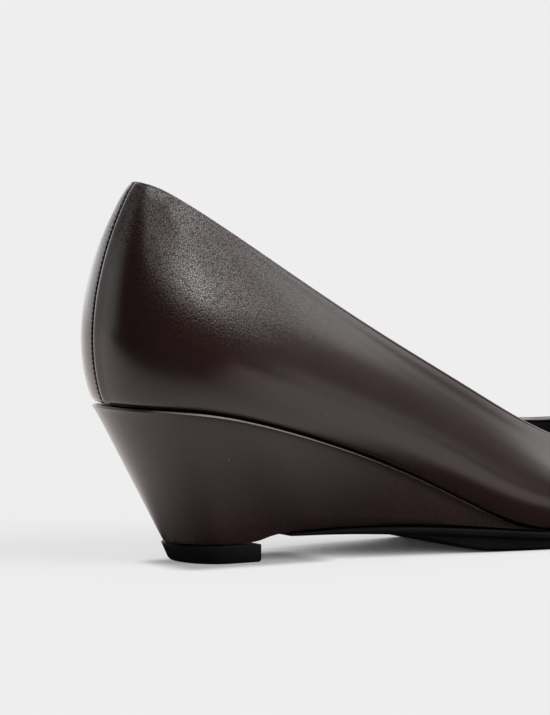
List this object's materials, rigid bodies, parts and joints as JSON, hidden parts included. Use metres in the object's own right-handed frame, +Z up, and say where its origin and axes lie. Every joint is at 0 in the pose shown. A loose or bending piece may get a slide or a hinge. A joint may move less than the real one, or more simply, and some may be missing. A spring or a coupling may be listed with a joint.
{
  "type": "wedge pump",
  "caption": "Closed court shoe for the right foot on a low covered wedge, with a thin rubber sole and a low-cut topline.",
  "frame": {"origin": "bottom centre of the bounding box, on the floor that the shoe stands on", "axes": "+X from heel to toe, +Y towards the inner side of the foot, across the shoe, +Z up"},
  "size_m": [0.2464, 0.0754, 0.1005],
  "materials": {
    "upper_leather": "smooth dark brown full-grain leather, satin polish",
    "sock_leather": "black lining leather, matte",
    "wedge_leather": "dark brown leather cover, satin polish",
    "sole_rubber": "very dark brown rubber, semi-matte",
    "tip_rubber": "black rubber, semi-matte"
  },
  "bodies": {
    "root": {"upper": "upper_leather", "insole": "sock_leather", "wedge": "wedge_leather", "outsole": "sole_rubber", "heel_tip": "tip_rubber"}
  },
  "joints": []
}
